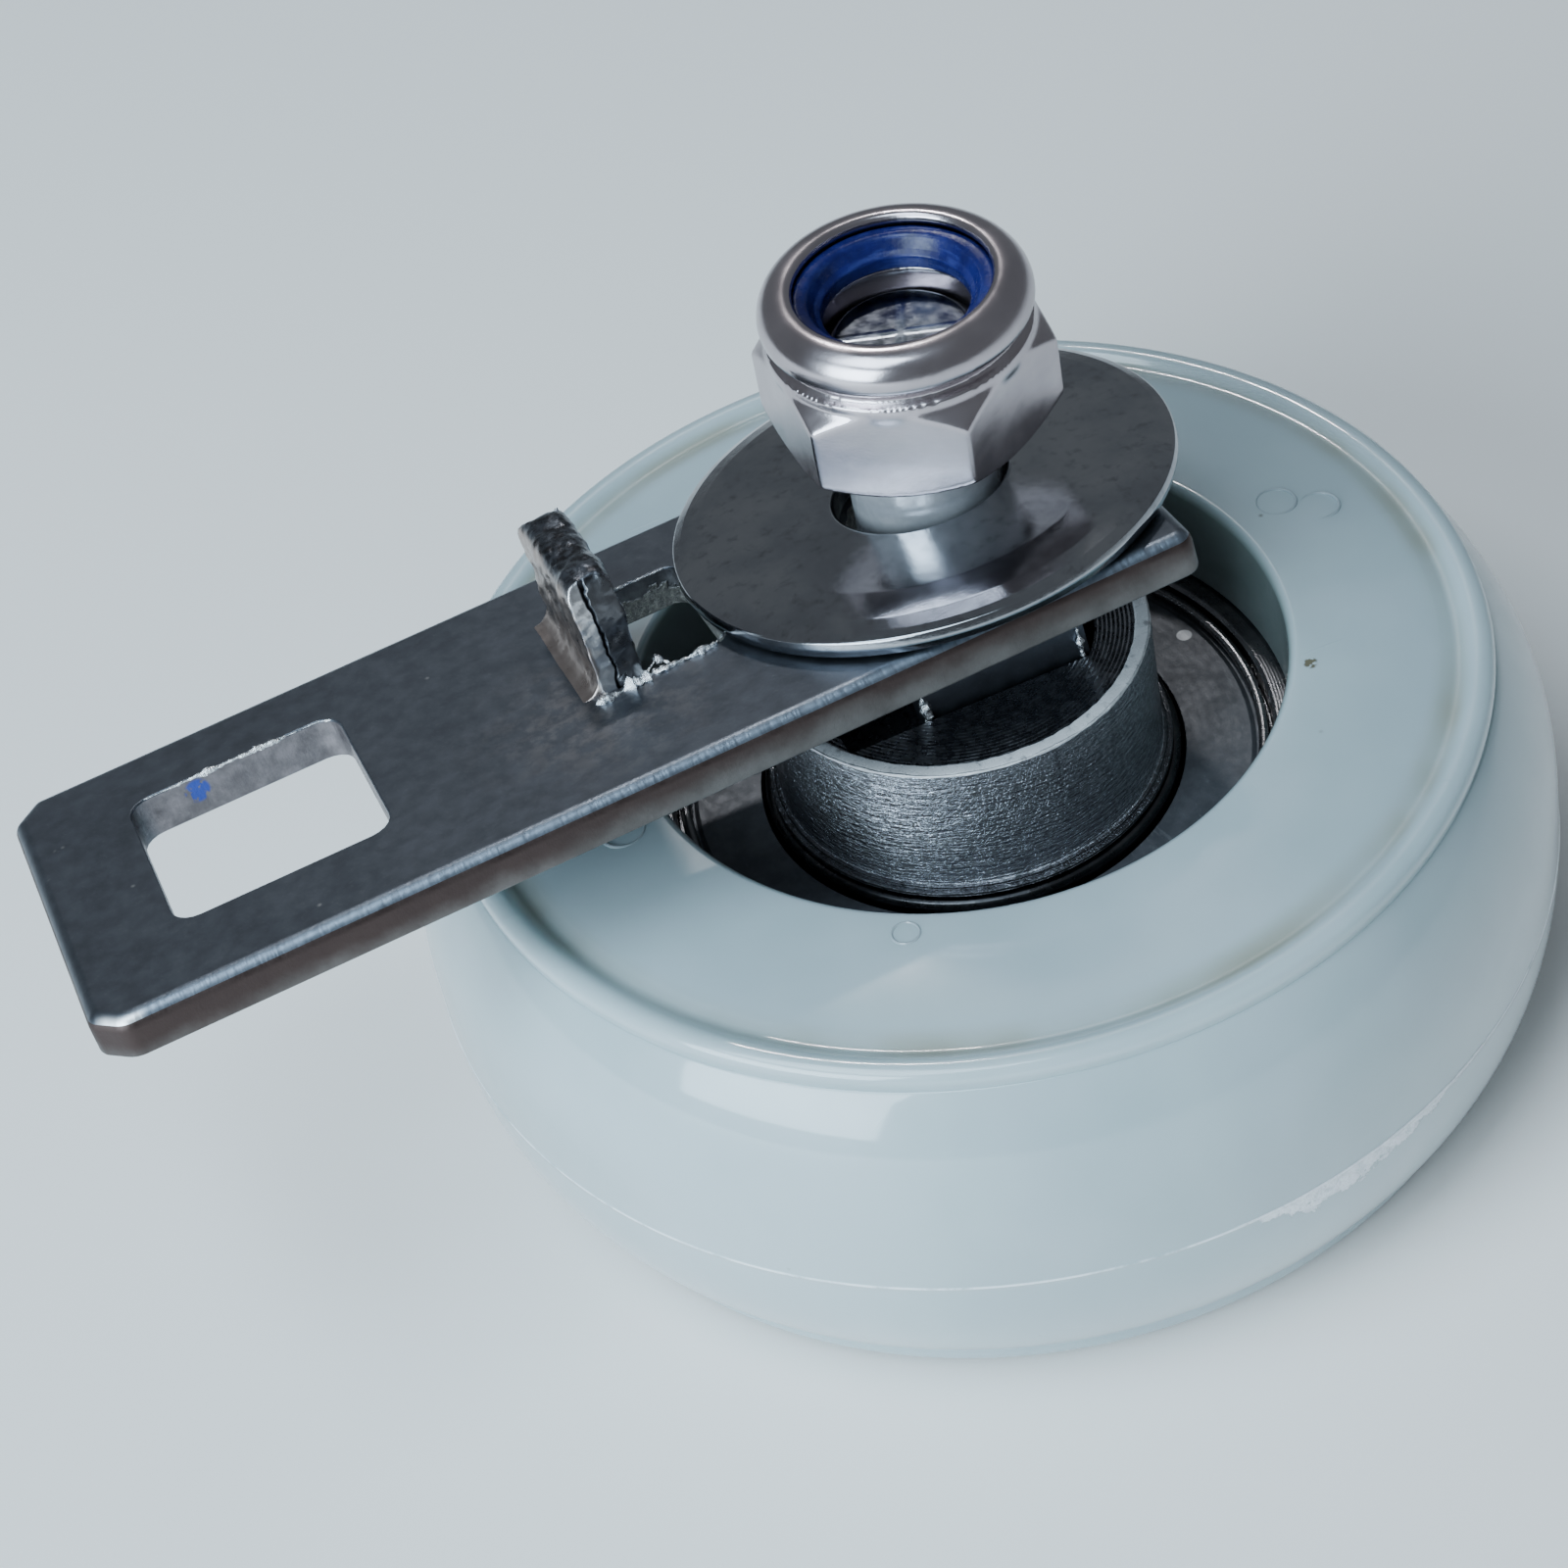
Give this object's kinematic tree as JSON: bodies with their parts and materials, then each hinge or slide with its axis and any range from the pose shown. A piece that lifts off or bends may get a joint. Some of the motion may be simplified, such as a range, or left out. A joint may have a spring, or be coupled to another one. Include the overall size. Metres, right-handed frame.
{
  "type": "sliding door roller",
  "caption": "Nylon sliding door roller on a ball bearing, with an eccentric steel hub, offset axle bolt, keyed adjusting lever, large washer and lock nut.",
  "frame": {"origin": "centre of the end face of the axle bolt's hexagon head, on the bolt's axis", "axes": "+Z along the axle bolt from its head to the lock nut; X along the adjusting lever, whose free end points to -X; Y across the lever"},
  "size_m": [0.1008, 0.0786, 0.0603],
  "materials": {
    "nylon": "glossy off-white moulded nylon, slightly green and translucent",
    "bearing_steel": "ground bearing steel",
    "shield_steel": "dull grey pressed shield",
    "cage_steel": "plain steel",
    "hub_steel": "turned steel, dark plated and mottled",
    "lever_steel": "dark stamped plate with torn bright edges",
    "washer_steel": "stamped washer, smooth and slightly mottled",
    "fastener_steel": "polished bright fastener",
    "insert_nylon": "dark blue locking insert"
  },
  "bodies": {
    "axle": {"axle_bolt": "fastener_steel", "retaining_washer": "fastener_steel"},
    "hub": {"hub_sleeve": "hub_steel", "bearing_inner_ring": "bearing_steel"},
    "wheel": {"wheel_tyre": "nylon", "bearing_outer_ring": "bearing_steel", "shield_upper": "shield_steel", "shield_lower": "shield_steel", "snap_wire_upper": "bearing_steel", "snap_wire_lower": "bearing_steel"},
    "cage": {"cage_upper": "cage_steel", "cage_lower": "cage_steel", "ball_1": "bearing_steel", "ball_2": "bearing_steel", "ball_3": "bearing_steel", "ball_4": "bearing_steel", "ball_5": "bearing_steel", "ball_6": "bearing_steel", "ball_7": "bearing_steel", "ball_8": "bearing_steel", "cage_rivet_1": "cage_steel", "cage_rivet_2": "cage_steel", "cage_rivet_3": "cage_steel", "cage_rivet_4": "cage_steel", "cage_rivet_5": "cage_steel", "cage_rivet_6": "cage_steel", "cage_rivet_7": "cage_steel", "cage_rivet_8": "cage_steel"},
    "lever": {"lever": "lever_steel"},
    "washer": {"large_washer": "washer_steel"},
    "nut": {"lock_nut": "fastener_steel", "nut_insert": "insert_nylon"}
  },
  "joints": [
    {"name": "lever_turn", "type": "hinge", "parent": "axle", "child": "hub", "pos_m": [0, 0, 0.02], "axis": [0, 0, 1], "continuous": true},
    {"name": "wheel_spin", "type": "hinge", "parent": "hub", "child": "wheel", "pos_m": [-0.00119, -0.00325, 0.015], "axis": [0, 0, 1], "continuous": true},
    {"name": "cage_spin", "type": "hinge", "parent": "hub", "child": "cage", "pos_m": [-0.00119, -0.00325, 0.015], "axis": [0, 0, 1], "continuous": true},
    {"name": "lever_seat", "type": "slide", "parent": "hub", "child": "lever", "axis": [0, 0, 1], "range_m": [-0.0028, 0.0006]},
    {"name": "washer_lift", "type": "slide", "parent": "lever", "child": "washer", "axis": [0, 0, 1], "range_m": [0, 0.00275]},
    {"name": "nut_turn", "type": "hinge", "parent": "axle", "child": "nut", "pos_m": [0, 0, 0.055], "axis": [0, 0, 1], "continuous": true}
  ],
  "couplings": [
    {"joint": "cage_spin", "follows": "wheel_spin", "ratio": 0.6164}
  ]
}
